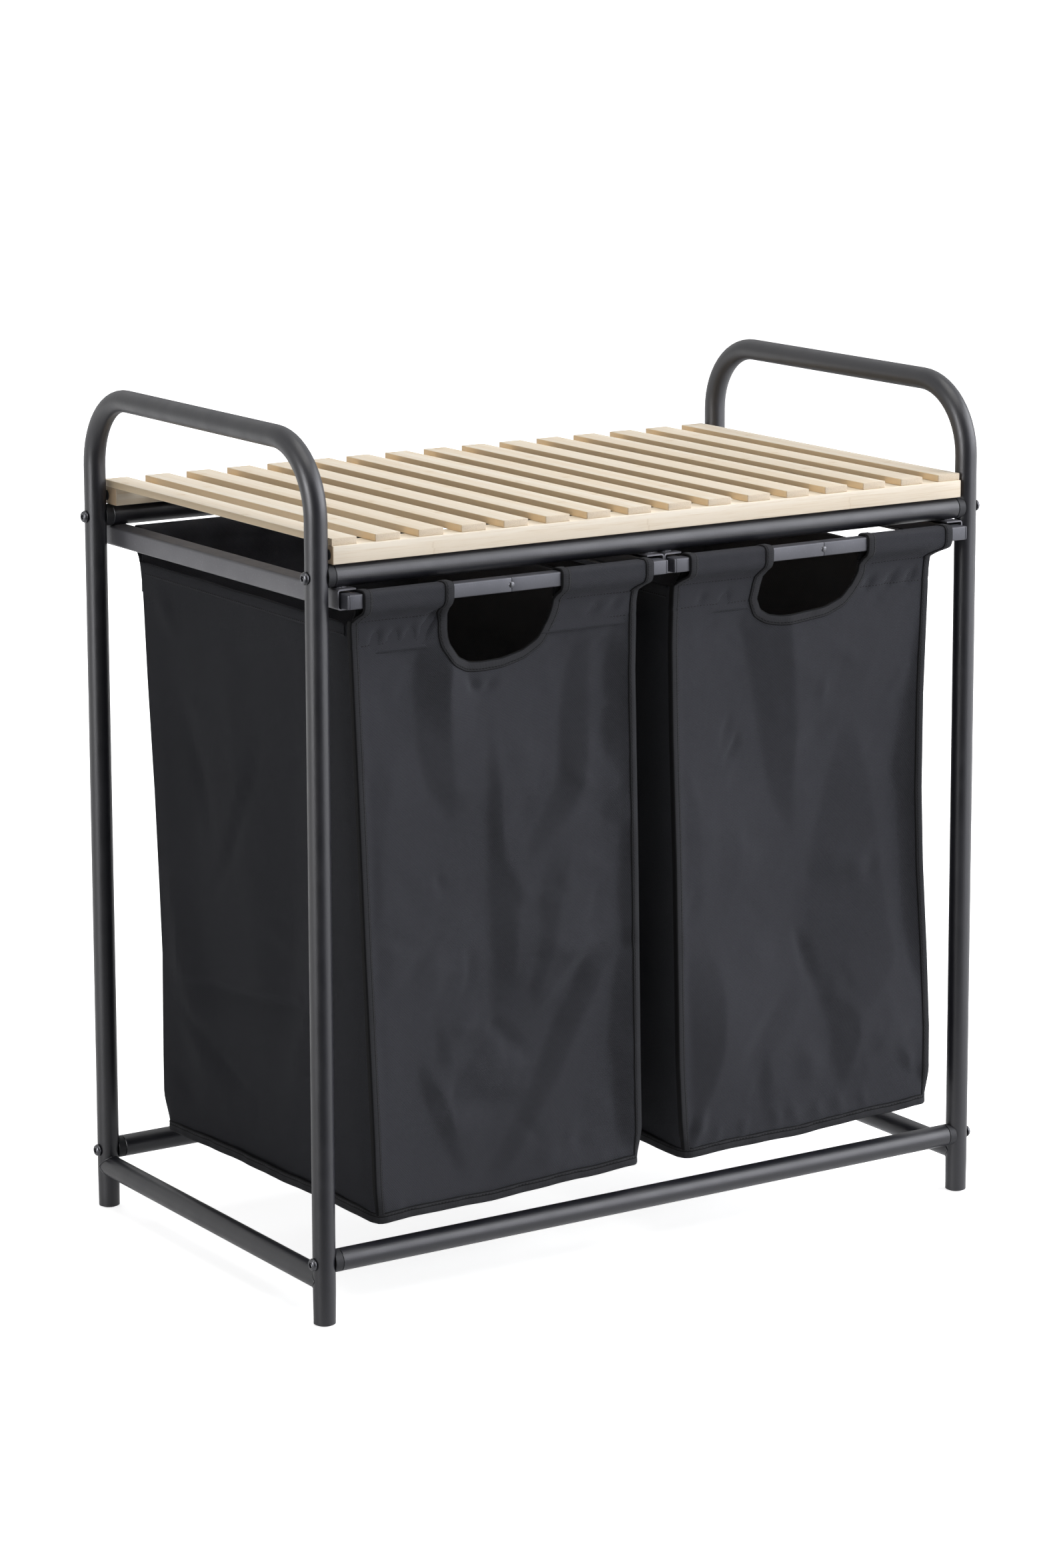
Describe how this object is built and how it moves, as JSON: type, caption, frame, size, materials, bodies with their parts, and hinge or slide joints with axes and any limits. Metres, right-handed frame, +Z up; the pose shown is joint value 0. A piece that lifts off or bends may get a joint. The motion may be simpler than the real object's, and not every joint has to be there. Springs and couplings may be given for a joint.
{
  "type": "laundry hamper with pull-out bins",
  "caption": "Laundry hamper: bent steel tube frame with end handles and a slatted bamboo top, carrying fabric bag bins that slide out to the front on rails.",
  "frame": {"origin": "on the floor under the middle of the outer box", "axes": "+X to the right along the hamper as seen from the front, +Y from the front to the rear, +Z up; the bins slide out along -Y"},
  "size_m": [0.6842, 0.4156, 0.738],
  "materials": {
    "frame_steel": "charcoal satin powder coat",
    "rail_steel": "charcoal satin powder coat",
    "black_plastic": "fine matt",
    "bolt_steel": "black satin",
    "bamboo": "light bamboo, satin lacquer",
    "bag_fabric": "black woven polyester with bound edges"
  },
  "bodies": {
    "frame": {"side_frame_left": "frame_steel", "side_frame_right": "frame_steel", "foot_plug_front_left": "black_plastic", "foot_plug_rear_left": "black_plastic", "foot_plug_front_right": "black_plastic", "foot_plug_rear_right": "black_plastic", "top_tube_front": "frame_steel", "top_tube_rear": "frame_steel", "bottom_tube_front": "frame_steel", "bottom_tube_rear": "frame_steel", "spacer_top_front_left": "black_plastic", "spacer_top_front_right": "black_plastic", "spacer_top_rear_left": "black_plastic", "spacer_top_rear_right": "black_plastic", "spacer_bottom_front_left": "black_plastic", "spacer_bottom_front_right": "black_plastic", "spacer_bottom_rear_left": "black_plastic", "spacer_bottom_rear_right": "black_plastic", "bolt_top_front_left": "bolt_steel", "bolt_top_front_right": "bolt_steel", "bolt_top_rear_left": "bolt_steel", "bolt_top_rear_right": "bolt_steel", "bolt_bottom_front_left": "bolt_steel", "bolt_bottom_front_right": "bolt_steel", "bolt_bottom_rear_left": "bolt_steel", "bolt_bottom_rear_right": "bolt_steel", "beam_front": "bamboo", "beam_rear": "bamboo", "beam_peg_front_left": "black_plastic", "beam_peg_front_right": "black_plastic", "beam_peg_rear_left": "black_plastic", "beam_peg_rear_right": "black_plastic", "slat_01": "bamboo", "slat_02": "bamboo", "slat_03": "bamboo", "slat_04": "bamboo", "slat_05": "bamboo", "slat_06": "bamboo", "slat_07": "bamboo", "slat_08": "bamboo", "slat_09": "bamboo", "slat_10": "bamboo", "slat_11": "bamboo", "slat_12": "bamboo", "slat_13": "bamboo", "slat_14": "bamboo", "slat_15": "bamboo", "slat_16": "bamboo", "rail_left_outer": "rail_steel", "rail_left_inner": "rail_steel", "rail_right_inner": "rail_steel", "rail_right_outer": "rail_steel"},
    "left_bin": {"left_bin_hoop_socket_half": "rail_steel", "left_bin_hoop_spigot_half": "rail_steel", "left_bin_bag": "bag_fabric"},
    "left_button": {"left_bin_hoop_button": "bolt_steel"},
    "right_bin": {"right_bin_hoop_socket_half": "rail_steel", "right_bin_hoop_spigot_half": "rail_steel", "right_bin_bag": "bag_fabric"},
    "right_button": {"right_bin_hoop_button": "bolt_steel"}
  },
  "joints": [
    {"name": "left_bin_slide", "type": "slide", "parent": "frame", "child": "left_bin", "axis": [0, -1, 0], "range_m": [0, 0.28]},
    {"name": "right_bin_slide", "type": "slide", "parent": "frame", "child": "right_bin", "axis": [0, -1, 0], "range_m": [0, 0.28]},
    {"name": "left_button_press", "type": "slide", "parent": "left_bin", "child": "left_button", "axis": [0, 1, 0], "range_m": [0, 0.0022], "stiffness_N_per_m": 800, "springref_m": -0.0015},
    {"name": "right_button_press", "type": "slide", "parent": "right_bin", "child": "right_button", "axis": [0, 1, 0], "range_m": [0, 0.0022], "stiffness_N_per_m": 800, "springref_m": -0.0015}
  ]
}
